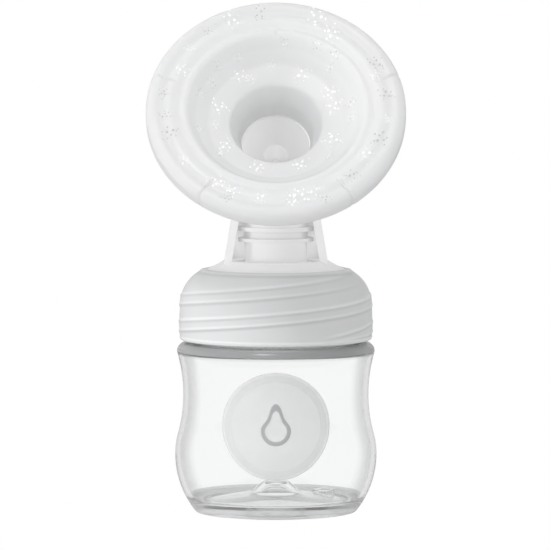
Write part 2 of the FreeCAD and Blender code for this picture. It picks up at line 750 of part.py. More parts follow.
def make_handle():
    # Side outlines, points are (y, z) with an optional arc radius.
    handle = padded_body("handle", "handle_solid", [
        (30.0, 164.2, 22.0),
        (6.0, 163.4, 160.0),
        (3.0, 160.6, 3.2),
        (3.0, 157.2),
        (12.0, 157.0),
        (29.0, 156.2),
        (36.2, 153.6),
        (36.2, 147.2),
        (38.0, 144.5),
        (45.5, 136.0),
        (47.0, 112.0),
        (51.5, 92.0, 75.0),
        (60.8, 74.6),
        (63.4, 72.4, 2.6),
        (64.5, 73.5, 0.9),
        (53.6, 112.0, -75.0),
        (52.6, 146.0),
    ], "handle_w")
    extrude_outline(handle, "Pocket", "handle_channel", [
        (-4.0, 150.0),
        (20.0, 140.0),
        (34.0, 100.0),
        (48.0, 68.0),
        (57.0, 68.0),
        (60.2, 76.6),
        (51.0, 112.0, -77.6),
        (50.0, 146.0),
        (31.0, 161.6, 19.4),
        (24.0, 161.7),
        (22.0, "plate_low_z"),
        (-4.0, "plate_low_z"),
    ], "handle_in_w")
    extrude_outline(handle, "Pocket", "handle_recess", [
        (-2.0, "plate_top_z"),
        (21.0, "plate_top_z"),
        (21.6, 168.0),
        (-2.0, 168.0),
    ], "handle_in_w - recess_inset")

    # Slot for the stem, open towards -Y.
    slot = new_sketch(handle, "stem_slot_outline", "XY_Plane")
    outline(slot, [
        ("0 - slot_half_w", -2.0),
        ("slot_half_w", -2.0),
        ("slot_half_w", "slot_end_y"),
        ("0 - slot_half_w", "slot_end_y", "slot_end_curve"),
    ])
    lift_sketch(slot, num("slot_z"))
    extrude(handle, "Pocket", "stem_slot", slot, "slot_cut")

    hole = new_sketch(handle, "pivot_hole_outline", "YZ_Plane")
    hole_r = "pivot_stud_r + fit_gap"
    centre = Vector(num("pivot_y"), num("pivot_z"), 0)
    circle = hole.addGeometry(Part.Circle(centre, Vector(0, 0, 1), num(hole_r)))
    bind_point(hole, circle, 3, "pivot_y", "pivot_z")
    constrain(hole, hole_r, "Radius", circle)
    extrude(handle, "Pocket", "pivot_hole", hole, "pivot_cut")

    extrude_outline(handle, "Pocket", "grip_recess", [
        (54.40, 112.0),
        (61.70, 80.35, 74.2),
        (60.26, 79.66),
        (52.80, 111.99, -75.8),
        (52.035, 137.98),
        (53.635, 138.02),
    ], "grip_w + grip_gap")
    return handle


def make_handle_grip():
    """Pad that fills the grip recess with a small gap all round."""
    return padded_body("handle_grip", "grip_pad", [
        (54.40, 112.0),
        (61.66, 80.43, 74.2),
        (60.30, 79.78),
        (52.83, 111.99, -75.77),
        (52.07, 137.95),
        (53.635, 137.99),
    ], "grip_w")


# ---------------------------------------------------------------- build and export
PARTS = [
    ("bottle", make_bottle()),
    ("screw_ring", make_screw_ring()),
    ("pump_body", make_pump_body()),
    ("breast_cushion", make_breast_cushion()),
    ("duckbill_valve", make_duckbill_valve()),
    ("diaphragm", make_diaphragm()),
    ("stem", make_stem()),
    ("handle", make_handle()),
    ("handle_grip", make_handle_grip()),
]
DOC.recompute()

broken = [obj.Name for obj in DOC.Objects if "Invalid" in obj.State or "Error" in obj.State]
if broken:
    raise SystemExit("objects in error: %s" % broken)
os.makedirs("parts", exist_ok=True)
for label, part in PARTS:
    part.Label = label
    if part.Shape.isNull() or not part.Shape.isValid():
        raise SystemExit("sub-part %s is not sound" % label)
    part.Shape.exportStep("parts/%s.step" % label)
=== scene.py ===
import math
import random

import bmesh
import bpy
import numpy as np
from mathutils import Matrix, Vector


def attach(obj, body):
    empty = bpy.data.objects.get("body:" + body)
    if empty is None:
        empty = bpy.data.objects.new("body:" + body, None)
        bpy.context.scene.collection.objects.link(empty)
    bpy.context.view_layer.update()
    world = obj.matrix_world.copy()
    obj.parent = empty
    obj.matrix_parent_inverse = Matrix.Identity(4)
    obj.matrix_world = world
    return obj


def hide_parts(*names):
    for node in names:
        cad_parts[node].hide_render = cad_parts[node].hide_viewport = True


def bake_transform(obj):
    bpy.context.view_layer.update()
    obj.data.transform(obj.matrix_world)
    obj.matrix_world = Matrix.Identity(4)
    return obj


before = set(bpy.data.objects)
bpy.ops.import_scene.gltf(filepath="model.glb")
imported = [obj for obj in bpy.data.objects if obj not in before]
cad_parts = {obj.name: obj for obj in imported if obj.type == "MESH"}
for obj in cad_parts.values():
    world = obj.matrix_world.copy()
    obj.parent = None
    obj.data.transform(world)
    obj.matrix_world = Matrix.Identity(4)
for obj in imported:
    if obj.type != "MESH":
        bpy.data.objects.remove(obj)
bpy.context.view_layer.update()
random.seed(7)

MM = 0.001
ON_AXIS = 1e-6  # a radius below this lies on the axis

# the cushion's own +Z points out of its open face
CUSHION_PLACE = Matrix.Translation((0, -0.040, 0.1431)) @ Matrix.Rotation(math.radians(54.0), 4, "X")
CUP_Y = 0.014  # the diaphragm's axis lies behind the bottle's

THREAD_STARTS = 3
THREAD_LEAD = 13.5
THREAD_ROOT_WIDTH = 2.2
THREAD_CREST_WIDTH = 1.0


# ------------------------------------------------------------------ outlines
def trace(points, step):
    """Steps along a closed outline. (r, z) is a straight way to the point, (r, z, radius) an
    arc: positive turns left of the way of travel, negative right."""
    traced = []
    for (x0, y0, *_), (x1, y1, *arc) in zip(points, points[1:] + points[:1]):
        dx, dy = x1 - x0, y1 - y0
        length = math.hypot(dx, dy)
        if not arc:
            count = max(1, int(round(length / step)))
            traced += [(x0 + dx * j / count, y0 + dy * j / count) for j in range(count)]
            continue
        radius = abs(arc[0])
        side = math.copysign(1.0, arc[0])
        half = length / 2
        rise = math.sqrt(max(radius * radius - half * half, 0.0))
        center_x = (x0 + x1) / 2 - side * dy / length * rise
        center_y = (y0 + y1) / 2 + side * dx / length * rise
        first = math.atan2(y0 - center_y, x0 - center_x)
        last = math.atan2(y1 - center_y, x1 - center_x)
        if side > 0 and last < first:
            last += 2 * math.pi
        if side < 0 and last > first:
            last -= 2 * math.pi
        count = max(2, int(round(abs(radius * (last - first)) / step)))
        for j in range(count):
            angle = first + (last - first) * j / count
            traced.append((center_x + radius * math.cos(angle),
                           center_y + radius * math.sin(angle)))
    return traced


def soften(outline, rounds):
    """Averages neighbours so that moulded corners come out round. Points on the axis stay."""
    points = np.array(outline, float)
    for _ in range(rounds):
        mean = (np.roll(points, 1, 0) + 2 * points + np.roll(points, -1, 0)) / 4
        mean[points[:, 0] < ON_AXIS, 0] = 0.0
        points = mean
    return [tuple(point) for point in points]


def bell(offset, width):
    return math.exp(-(offset / width) ** 2)


def ease(x):
    return x * x * (3 - 2 * x)


# ------------------------------------------------------------------ mesh building
def around_axis(r, angle, z):
    return r * math.cos(angle) * MM, r * math.sin(angle) * MM, z * MM


def add_row(verts, points):
    """Adds the points and returns their indices."""
    first = len(verts)
    verts.extend(points)
    return list(range(first, len(verts)))


def band(first, second):
    """Quads between two closed rows of vertices."""
    count = len(first)
    return [[first[j], first[(j + 1) % count], second[(j + 1) % count], second[j]]
            for j in range(count)]


def finish_mesh(name, verts, faces, sharp, place=None):
    """Makes a smooth shaded object; edges steeper than sharp degrees stay sharp (0: none)."""
    mesh = bpy.data.meshes.new(name)
    mesh.from_pydata(verts, [], faces)
    mesh.validate()
    if place is not None:
        mesh.transform(place)
    bm = bmesh.new()
    bm.from_mesh(mesh)
    bmesh.ops.recalc_face_normals(bm, faces=bm.faces)
    bm.to_mesh(mesh)
    bm.free()
    for face in mesh.polygons:
        face.use_smooth = True
    if sharp:
        mesh.set_sharp_from_angle(angle=math.radians(sharp))
    ob = bpy.data.objects.new(name, mesh)
    bpy.context.scene.collection.objects.link(ob)
    return ob


def lathe(name, outline, segments, shape=None, place=None):
    """Turns a closed outline about Z. shape(r, angle, z, index) gives a vertex its own r and z."""
    verts, faces, rows = [], [], []
    for index, (r, z) in enumerate(outline):
        if r < ON_AXIS:
            rows.append(add_row(verts, [(0.0, 0.0, z * MM)]) * segments)
            continue
        points = []
        for j in range(segments):
            angle = 2 * math.pi * j / segments
            new_r, new_z = shape(r, angle, z, index) if shape else (r, z)
            points.append(around_axis(new_r, angle, new_z))
        rows.append(add_row(verts, points))
    for row, following in zip(rows, rows[1:] + rows[:1]):
        if row[0] == row[1] and following[0] == following[1]:
            continue  # both on the axis
        # at the axis a quad shrinks to a triangle
        faces += [list(dict.fromkeys(quad)) for quad in band(row, following)]
    return finish_mesh(name, verts, faces, sharp=40, place=place)


def thread(name, root, crest, low, rise):
    """Thread ridges between two radii, from height low up by rise, faded out at both ends."""
    steps = 150
    fade_share = 0.04
    flank = (THREAD_ROOT_WIDTH - THREAD_CREST_WIDTH) / 2
    verts, faces = [], []
    for start in range(THREAD_STARTS):
        rows = []
        for step in range(steps + 1):
            along = step / steps
            turn = rise / THREAD_LEAD * 2 * math.pi
            angle = 2 * math.pi * start / THREAD_STARTS + turn * along
            z = low + rise * along
            fade = ease(min(1.0, along / fade_share, (1 - along) / fade_share))
            top = root + (crest - root) * max(fade, 0.02)
            shoulder = root + (top - root) * 0.75
            section = (
                (root, 0), (shoulder, flank * 0.75), (top, flank * 1.25),
                (top, flank * 0.75 + THREAD_CREST_WIDTH),
                (shoulder, flank * 1.25 + THREAD_CREST_WIDTH), (root, THREAD_ROOT_WIDTH))
            rows.append(add_row(verts, [around_axis(r, angle, z + dz) for r, dz in section]))
        for row, following in zip(rows, rows[1:]):
            faces += band(row, following)
        faces.append(rows[0])
        faces.append(rows[-1][::-1])
    return finish_mesh(name, verts, faces, sharp=50)


# ------------------------------------------------------------------ materials
def set_inputs(tree, node, inputs):
    """Links each input that is given a socket and sets the others."""
    for key, value in inputs.items():
        if isinstance(value, bpy.types.NodeSocket):
            tree.links.new(value, node.inputs[key])
        else:
            node.inputs[key].default_value = value


def add_node(tree, kind, inputs=None, **settings):
    node = tree.nodes.new("ShaderNode" + kind)
    for key, value in settings.items():
        setattr(node, key, value)
    set_inputs(tree, node, inputs or {})
    return node


def multiply(tree, first, second):
    mix = add_node(tree, "Mix", {0: 1.0, 6: first, 7: second},
                   data_type="RGBA", blend_type="MULTIPLY")
    return mix.outputs[2]


def grey_ramp(tree, factor, stops):
    """Maps factor to grey. Stops are (position, grey)."""
    ramp = add_node(tree, "ValToRGB", {0: factor})
    elements = ramp.color_ramp.elements
    for j, (position, grey) in enumerate(stops):
        element = elements[j] if j < 2 else elements.new(position)
        element.position = position
        element.color = (grey, grey, grey, 1)
    return ramp.outputs[0]


def paint_shade_by_height(tree, color, coords, height_shade):
    """Painted shade: grey tint by height. Heights are (z in mm, grey)."""
    top = 80.0
    split = add_node(tree, "SeparateXYZ", {0: coords})
    height = add_node(tree, "MapRange", {
        "From Min": 0.0, "From Max": 0.08, "Value": split.outputs["Z"]})
    stops = [(z / top, grey) for z, grey in height_shade]
    return multiply(tree, color, grey_ramp(tree, height.outputs["Result"], stops))


def paint_relief_shading(tree, color):
    """Paints highlight and shade by the mesh's relief attribute, -1 to 1."""
    painted_relief_shading = add_node(tree, "Attribute", attribute_name="painted_relief_shading")
    shade = add_node(tree, "MapRange", {
        "From Min": -1.0, "From Max": 1.0, "To Min": 0.80, "To Max": 1.20,
        "Value": painted_relief_shading.outputs["Fac"]})
    return multiply(tree, color, shade.outputs["Result"])


def crevice_shade(tree, painted_crevice_shade):
    """Painted shade: 1 in the open, less by crevice in corners and gaps."""
    occlusion = add_node(tree, "AmbientOcclusion", {"Distance": 0.005}, samples=8)
    shade = add_node(tree, "MapRange", {
        "From Min": 0.10, "From Max": 0.60, "To Min": 1.0 - painted_crevice_shade, "To Max": 1.0,
        "Value": occlusion.outputs["AO"]})
    return shade.outputs["Result"]


def bumped_normal(tree, coords, bump, bump_scale, bevel):
    noise = add_node(tree, "TexNoise", {"Scale": bump_scale, "Detail": 4, "Vector": coords})
    node = add_node(tree, "Bump", {
        "Strength": bump, "Distance": 0.0003, "Height": noise.outputs["Fac"]})
    if bevel > 0:
        rounded = add_node(tree, "Bevel", {"Radius": bevel}, samples=6)
        tree.links.new(rounded.outputs[0], node.inputs["Normal"])
    return node.outputs["Normal"]


def material(name, color, rough=0.3, spread=0.04, spec=0.5, trans=0.0, ior=1.45, coat=0.0,
             alpha=1.0, tint=0.015, height_shade=None, facing_shade=None, painted_relief_shading=False, painted_crevice_shade=0.0,
             painted_glow=0.0, bump=0.0, bump_scale=900.0, bevel=0.0, through=0.0, absorb=0.0):
    """spread and tint: how far noise moves roughness and colour. heights and edge: painted shade,
    grey stops by height and by facing. relief: painted highlight and shade from the mesh's
    relief attribute. crevice: painted shade in corners and gaps. glow: painted light, emission
    from a part that is no lamp. through: share of translucent light. absorb: volume density.
    bevel: rounding in metres of shaded edges."""
    made = bpy.data.materials.new(name)
    made.use_nodes = True
    tree = made.node_tree
    shader = tree.nodes["Principled BSDF"]
    output = tree.nodes["Material Output"]
    coords = add_node(tree, "TexCoord").outputs["Object"]
    noise = add_node(tree, "TexNoise", {"Scale": 60.0, "Detail": 3, "Vector": coords})
    mottle = add_node(tree, "Mix", {
        6: (*[c * (1 - tint) for c in color], 1),
        7: (*[min(1, c * (1 + tint)) for c in color], 1),
        0: noise.outputs["Fac"]}, data_type="RGBA")
    base = mottle.outputs[2]
    if height_shade:
        base = paint_shade_by_height(tree, base, coords, height_shade)
    # painted shade: darker where the surface turns away from the camera
    if facing_shade:
        facing = add_node(tree, "LayerWeight", {"Blend": 0.5}).outputs["Facing"]
        base = multiply(tree, base, grey_ramp(tree, facing, facing_shade))
    # painted highlight and shade from the relief attribute
    if painted_relief_shading:
        base = paint_relief_shading(tree, base)
    emission = painted_glow
    # painted shade in corners and gaps, which also dims the painted glow
    if painted_crevice_shade > 0:
        shade = crevice_shade(tree, painted_crevice_shade)
        base = multiply(tree, base, shade)
        if painted_glow > 0:
            dimmed = add_node(tree, "Math", {1: painted_glow, 0: shade}, operation="MULTIPLY")
            emission = dimmed.outputs[0]
    roughness = add_node(tree, "MapRange", {
        "To Min": max(0.0, rough - spread), "To Max": rough + spread,
        "Value": noise.outputs["Fac"]})
    set_inputs(tree, shader, {
        "Base Color": base,
        "Roughness": roughness.outputs["Result"],
        "Specular IOR Level": spec,
        "Transmission Weight": trans,
        "IOR": ior,
        "Subsurface Weight": 0.0,
        "Subsurface Scale": 0.004,
        "Subsurface Radius": (1.0, 0.9, 0.8),
        "Coat Weight": coat,
        "Alpha": alpha})
    # painted light: the part glows though it is no lamp
    if painted_glow > 0:
        set_inputs(tree, shader, {
            "Emission Color": (1, 1, 1, 1), "Emission Strength": emission})
    if absorb > 0:
        volume = add_node(tree, "VolumeAbsorption", {
            "Color": (0.3, 0.3, 0.3, 1), "Density": absorb})
        tree.links.new(volume.outputs[0], output.inputs["Volume"])
    if bump > 0:
        normal = bumped_normal(tree, coords, bump, bump_scale, bevel)
        tree.links.new(normal, shader.inputs["Normal"])
    if through > 0:
        translucent = add_node(tree, "BsdfTranslucent", {
            "Color": (*[min(1.0, c * 1.08) for c in color], 1)})
        mix = add_node(tree, "MixShader", {
            0: through, 1: shader.outputs[0], 2: translucent.outputs[0]})
        tree.links.new(mix.outputs[0], output.inputs["Surface"])
    return made


MATERIALS = {
    # bottle: painted shade, darker at the thick foot and shoulder and where it turns away
    "bottle": material(
        "clear_bottle", (0.985, 0.99, 0.99), rough=0.03, spread=0.02, trans=1.0, ior=1.40,
        tint=0.003, absorb=4.0,
        height_shade=[(0.0, 0.90), (7.0, 0.985), (55.0, 0.985), (56.6, 0.75), (59.9, 0.70),
                 (61.0, 0.90)],
        facing_shade=[(0.0, 1.0), (1.0, 0.50), (0.46, 1.0), (0.58, 0.76)]),
    # painted shade: greyed copies of the clear plastic for the shoulder's and the foot's outsides
    "shoulder": material(
        "bottle_shoulder_painted_shade", (0.52, 0.525, 0.53), rough=0.22, trans=0.5, ior=1.40),
    "foot": material(
        "bottle_foot_painted_shade", (0.80, 0.805, 0.81), rough=0.22, spread=0.05, trans=0.72, ior=1.40),
    "thread": material(
        "clear_thread", (0.97, 0.975, 0.975), rough=0.05, spread=0.02, trans=1.0, ior=1.40,
        tint=0.003, absorb=4.0),
    "badge": material(
        "frosted_badge", (0.74, 0.745, 0.75), rough=0.5, spread=0.05, spec=0.3, bump=0.1,
        alpha=0.40),
    "badge_rim": material(
        "badge_rim", (0.88, 0.885, 0.89), rough=0.5, spread=0.05, spec=0.3, bump=0.1,
        alpha=0.14),
    "badge_mark": material(
        "badge_mark", (0.42, 0.43, 0.44), rough=0.5, spread=0.05, spec=0.3, bump=0.1),
    # screw ring and pump body
    # the ring's raised bands carry painted highlight and shade, and it glows with painted light
    "ring": material(
        "frosted_ring", (0.855, 0.86, 0.865), rough=0.22, ior=1.4, bump=0.05,
        bump_scale=1500, coat=0.35, through=0.25, painted_glow=0.025, painted_relief_shading=True),
    # the body glows with painted light, dimmed by painted shade in its corners and gaps
    "body": material(
        "milky_body", (0.98, 0.98, 0.98), rough=0.25, trans=0.1, ior=1.4, bump=0.02,
        through=0.42, painted_glow=0.16, bevel=0.0004, painted_crevice_shade=0.50),
    # painted shade: the tunnel behind the cushion is greyer and glows less
    "body_inside": material(
        "milky_body_inside_shade", (0.94, 0.94, 0.94), bump=0.02, through=0.35, painted_glow=0.085,
        painted_crevice_shade=0.15),
    # silicone parts
    # cushion: painted shade where its front turns away
    "cushion": material(
        "clear_silicone", (0.91, 0.912, 0.915), spread=0.05, trans=0.18, ior=1.3, bump=0.04,
        through=0.45, facing_shade=[(0.0, 1.0), (1.0, 0.70), (0.45, 1.0), (0.75, 0.90)]),
    # the bright dots glow with painted light
    "dots": material(
        "silicone_dots", (1.0, 1.0, 1.0), rough=0.2, spread=0.03, spec=0.8, bump=0.02,
        painted_glow=0.16),
    "dots_grey": material(
        "silicone_dots_grey", (0.70, 0.705, 0.71), spread=0.03, through=0.1),
    "valve": material(
        "white_silicone", (0.93, 0.93, 0.93), rough=0.4, spread=0.05, spec=0.4, bump=0.05,
        through=0.3),
    "diaphragm": material(
        "grey_silicone", (0.90, 0.905, 0.91), rough=0.38, spread=0.05, spec=0.4, trans=0.1,
        bump=0.05, through=0.35),
    # stem and handle
    "stem": material(
        "white_stem", (0.93, 0.93, 0.93), rough=0.35, bump=0.04, through=0.1),
    # handle: painted shade in its corners and gaps
    "handle": material(
        "handle_plastic", (0.955, 0.955, 0.96), rough=0.25, bump=0.02, coat=0.1,
        through=0.2, bevel=0.0012, painted_crevice_shade=0.15),
    "grip": material(
        "soft_grip", (0.66, 0.67, 0.69), rough=0.6, spread=0.05, spec=0.3, bump=0.25,
        bump_scale=2500, bevel=0.0008),
}

# ------------------------------------------------------------------ bottle
# (r, z[, arc radius]): under the floor, up the outside, over the rim and down the inside
BOTTLE_OUTLINE = [
    (0, 8.8), (3.3, 8.8), (7.6, 4.9), (24.4, 2.2), (25.5, 0), (28.0, 0),
    (35.3, 20.5, 31.8), (34.33, 27.53, 26.0), (32.45, 41.2, -50.6), (34.7, 56.5, -53.1),
    (32.3, 59.45, 3.2), (29.3, 59.6), (29.3, 73.6), (28.9, 74.0),
    (27.7, 74.0), (27.3, 73.6), (27.3, 58.4), (31.4, 57.85), (33.1, 56.2, -2.2),
    (30.85, 41.2, 51.1), (32.79, 27.10, 52.2), (33.7, 20.5, -24.4), (29.3, 5.0, -30.2),
    (24.0, 4.0), (8.9, 6.6), (4.4, 10.5), (0, 10.5)]
# (r, z): a small upright ring
FLOOR_RING_OUTLINE = [(2.6, 4.4), (4.0, 4.4), (4.0, 6.3), (3.7, 6.6), (2.9, 6.6), (2.6, 6.3)]
BADGE_HEIGHT = 33.0

bottle_trace = trace(BOTTLE_OUTLINE, 0.48)
# the last traced point, on the axis, gives way to the top of the floor
bottle = lathe("bottle_wall", soften(bottle_trace[:-1] + [BOTTLE_OUTLINE[-1]], 2), 192)
bottle_thread = thread("bottle_thread_ridges", root=29.1, crest=30.9, low=61.8, rise=7.6)
floor_ring = lathe("bottle_floor_ring", soften(trace(FLOOR_RING_OUTLINE, 0.15), 1), 64,
                   place=Matrix.Translation((0.017, 0.0065, 0)))


def bottle_radius(z):
    """Outer radius of the bottle at height z."""
    inside_limit = 27.9  # only points outside this radius count
    return max(r0 + (r1 - r0) * (z - z0) / (z1 - z0)
               for (r0, z0), (r1, z1) in zip(bottle_trace, bottle_trace[1:])
               if r0 > inside_limit and (z0 - z) * (z1 - z) <= 0 and abs(z1 - z0) > 1e-6)


def patch(name, height, inner, outer, rings, lift, thick=0.18, outline=None):
    """A thin plate on the bottle's front (-Y), round as seen from there. outline(angle)
    scales its radius; lift is the gap to the bottle."""
    segments = 144
    verts, faces, grids = [], [], []
    for level in (lift + thick, lift):
        grid = []
        for i in range(rings + 1):
            radius = inner + (outer - inner) * i / rings
            # the front face's outer edge is drawn in
            drawn_in = thick * 0.6 if level > lift and i == rings else 0.0
            points = []
            for j in range(segments):
                angle = 2 * math.pi * j / segments
                scale = outline(angle) if outline else 1.0
                x = radius * scale * math.cos(angle)
                z = height + radius * scale * math.sin(angle)
                depth = bottle_radius(z) + level - drawn_in
                y = -math.sqrt(depth * depth - x * x)
                points.append((x * MM, y * MM, z * MM))
            grid.append(add_row(verts, points))
        grids.append(grid)
    for grid in grids:
        for row, following in zip(grid, grid[1:]):
            faces += band(row, following)
    front, back = grids
    for quads in zip(band(front[-1], back[-1]), band(front[0], back[0])):
        faces += quads
    return finish_mesh(name, verts, faces, sharp=60)


def drop_outline(angle):
    """Outline of a plain water drop, point up."""
    from_top = (angle - math.pi / 2) % (2 * math.pi)
    from_top = min(from_top, 2 * math.pi - from_top)
    return 1.0 + 0.75 * bell(from_top, 0.33) - 0.10 * bell(from_top - 0.9, 0.4)


badge = patch("bottle_badge", BADGE_HEIGHT, inner=0.02, outer=18.6, rings=30, lift=0.02)
badge_rim = patch("bottle_badge_rim", BADGE_HEIGHT, inner=15.3, outer=17.6, rings=4,
                  lift=0.16, thick=0.12)
badge_drop = patch("bottle_badge_drop", 31.6, inner=3.9, outer=5.2, rings=6, lift=0.20,
                   thick=0.14, outline=drop_outline)

# ------------------------------------------------------------------ screw ring
# (r, z[, arc radius]): over the top lip, down the outside and up the inside
RING_OUTLINE = [
    (24.2, 83.4, 11.6), (24.2, 85.5), (33.6, 72.5, -13.4), (33.6, 61.2, -80.0),
    (33.0, 60.4, -0.8), (31.6, 60.4), (31.2, 60.9), (31.2, 76.2)]
# two raised bands wind up round the ring
BAND_STARTS = (24.0, 204.0)  # degrees round from the front
BAND_SWEEP = 430.0  # degrees
BAND_LOW = 61.8
BAND_RISE = 18.4  # per turn
BAND_REACH = 3.2  # nothing is raised farther than this from the middle line
BAND_HALF_WIDTH = 1.75
BAND_RAISE = 0.10  # height of the flat middle
BAND_BEAD = 0.24  # further height of the rounded edges


def band_height(angle, z):
    """Height of the raised bands at an angle round the ring and height z."""
    from_front = (math.degrees(angle) + 90.0) % 360.0
    best = 0.0
    for start in BAND_STARTS:
        for turn in (0, 1):
            along = (from_front - start) % 360.0 + 360.0 * turn
            if along > BAND_SWEEP:
                continue
            off = abs(z - (BAND_LOW + BAND_RISE * along / 360.0))
            if off >= BAND_REACH:
                continue
            # fades in over 25 degrees and out over 120, and widens from a quarter
            fade = ease(min(1.0, along / 25.0, (BAND_SWEEP - along) / 120.0))
            half_width = BAND_HALF_WIDTH * min(1.0, 0.25 + along / 60.0)
            flat = BAND_RAISE / (1 + math.exp((off - half_width) / 0.16))
            best = max(best, (flat + BAND_BEAD * bell(off - half_width, 0.50)) * fade)
    return best


def swirl(r, angle, z, _index):
    """Raises the bands and two thin beads on the ring's outer surface."""
    on_side = r > 31.9 and z < 76.0
    on_dome = z >= 76.0 and math.hypot(r - 20.2, z - 72.51) > 12.4
    if not (on_side or on_dome) or z < 61.0:
        return r, z
    height = band_height(angle, z)
    if 24.6 < r < 28.5 and z > 80.0:
        height += 0.30 * bell(r - 26.2, 0.55)  # bead round the top
    if 60.9 < z < 62.4:
        height += 0.16 * bell(z - 61.5, 0.35)  # bead round the bottom
    if z > 72.5:
        # the dome swells away from this centre of its section
        center_r, center_z = 22.0, 71.0
        away = math.hypot(r - center_r, z - center_z)
        return r + height * (r - center_r) / away, z + height * (z - center_z) / away
    return r + height, z


def relief_light_and_shade(r, angle, z):
    """Painted highlight (1) above and painted shade (-1) below, worked out from the slope of
    the raised parts.
    """
    if r <= 24.5 or (r < 32.0 and z < 76.0):
        return 0.0
    mark = (band_height(angle, z - 0.40) - band_height(angle, z + 0.30)) / 0.20
    if z < 61.9 and r > 32.5:
        # painted highlight along the bottom lip
        mark = 0.8  # bottom edge
    if z > 82.0:
        # painted highlight on the top bead and painted shade just beyond it
        mark += 0.9 * bell(r - 25.9, 0.45) - 0.9 * bell(r - 27.2, 0.6)  # top bead
    return max(-1.0, min(1.0, mark))


ring = lathe("screw_ring_shell", soften(trace(RING_OUTLINE, 0.3), 2), 320, shape=swirl)
# painted highlight and shade, kept per vertex
relief_shading_layer = ring.data.attributes.new("painted_relief_shading", "FLOAT", "POINT")
relief_shading_layer.data.foreach_set("value", [
    relief_light_and_shade(math.hypot(v.co.x, v.co.y) / MM, math.atan2(v.co.y, v.co.x), v.co.z / MM)
    for v in ring.data.vertices])
ring_thread = thread("screw_ring_thread", root=31.5, crest=29.65, low=64.05, rise=6.9)

# ------------------------------------------------------------------ breast cushion
# (r, z[, arc radius]) about its own axis: up the back to the rim, then down the front
CUSHION_OUTLINE = [
    (11.7, -22.7), (13.85, -22.7), (13.85, -17.5), (17.0, -12.0), (22.8, -10.1),
    (28.6, -6.0), (31.0, -2.6), (34.0, -2.3), (37.5, -1.6), (40.4, -1.95),
    (43.05, -1.95), (43.05, -4.45), (41.2, -5.2), (40.9, -6.9), (43.4, -6.7),
    (44.5, -5.2, 1.6), (44.5, -1.4), (40.6, 0.6, 3.0), (38.6, -0.3, -3.4),
    (35.0, 0.2, 3.4), (32.9, -0.6), (30.2, -0.5, 1.7), (27.6, -4.4), (23.4, -7.9),
    (15.9, -9.8), (13.0, -17.0)]
TOP_CREASE = 90.0
CREASES = [TOP_CREASE, 162.0, 18.0, 234.0, 306.0]  # degrees round the cushion's axis

cushion_outline = soften(trace(CUSHION_OUTLINE, 0.45), 2)
# the outermost point, where the front begins
rim_index = max(range(len(cushion_outline)),
                key=lambda i: cushion_outline[i][0] - 0.3 * abs(cushion_outline[i][1] + 2.5))
front_points = sorted(cushion_outline[rim_index + 1:])


def petals(r, angle, z, index):
    """Sinks creases into the front that part it into petals."""
    if index < rim_index - 8 or r < 29:
        return r, z
    degrees = math.degrees(angle) % 360.0
    depth = 0.0
    for crease in CREASES:
        off = abs((degrees - crease + 180.0) % 360.0 - 180.0) * math.pi / 180.0 * r
        if off > 4.0:
            continue
        if crease == TOP_CREASE:
            # at the top only the inner ridge is nicked
            nick = 0.45 * bell(off, 0.5) * max(0.0, 1 - ((r - 31.5) / 2.0) ** 2)
            depth = max(depth, nick)
            continue
        growth = min(1.0, max(0.0, (r - 35.4) / 1.6))
        depth = max(depth, growth * (0.85 * bell(off, 0.50) - 0.22 * bell(off - 1.3, 0.6)))
    if r > 42.5:
        return r - depth * 0.55, z - depth * 0.4
    return r, z - depth


cushion = lathe("cushion_shell", cushion_outline, 360, shape=petals, place=CUSHION_PLACE)

# ------------------------------------------------------------------ dots on the cushion
# clusters of bubbles: (distance from the axis, degrees round it, size)
BRIGHT_CLUSTERS = [
    # outer
    (39.7, 113, 1.0), (39.7, 69, 1.1), (36.2, 58, 1.0), (35.4, 154, 0.8), (36.1, 237, 0.9),
    (36.9, 247, 0.8), (36.1, 282, 1.0), (37.0, 291, 0.8), (38.9, 278, 0.7), (36.2, 328, 0.9),
    (38.8, 140, 0.6), (36.5, 21, 0.7), (38.4, 353, 0.6), (37.3, 262, 0.7), (38.0, 215, 0.6),
    # inner
    (22.3, 124, 0.8), (19.8, 116, 0.6), (21.4, 65, 0.9), (21.9, 33, 0.8), (20.9, 18, 0.9),
    (20.5, 163, 0.9), (19.5, 210, 0.9), (20.7, 339, 1.0), (18.8, 251, 0.9), (18.8, 296, 0.9),
    (23.0, 94, 0.5), (20.6, 184, 0.5)]
GREY_CLUSTERS = [
    (39.3, 98, 0.9), (39.1, 28, 1.0), (38.1, 8, 0.9), (37.6, 196, 1.0), (40.4, 246, 0.7),
    (37.8, 340, 1.0), (38.0, 185, 0.7), (40.7, 294, 0.7), (39.2, 127, 0.6), (38.9, 171, 0.7),
    (38.1, 313, 0.8)]
# on the funnel's slope, half bright and half grey
MIXED_CLUSTERS = [
    (27.4, 161, 0.6), (26.1, 148, 0.6), (26.9, 191, 0.6), (26.6, 12, 0.6), (26.1, 359, 0.6),
    (26.7, 47, 0.5), (27.4, 118, 0.5), (30.0, 62, 0.6), (30.3, 48, 0.7), (28.0, 135, 0.5),
    (23.8, 217, 0.5), (23.5, 320, 0.5), (28.8, 84, 0.5)]
# rings of a cluster: count, first angle, angle play, least and most distance from the
# cluster's middle, least and most bubble radius
CLUSTER_RINGS = [
    (3, 0, 14, 1.2, 1.5, 0.48, 0.70),
    (5, 60, 14, 2.4, 3.0, 0.30, 0.48),
    (2, 180 * 0, 30, 3.6, 4.2, 0.30, 0.38)]
# section of a bubble: share of its radius, share of its height
DOME_SECTION = ((1.0, -0.12), (1.0, 0.1), (0.86, 0.5), (0.55, 0.86), (0.2, 0.99))
DOME_SIDES = 10


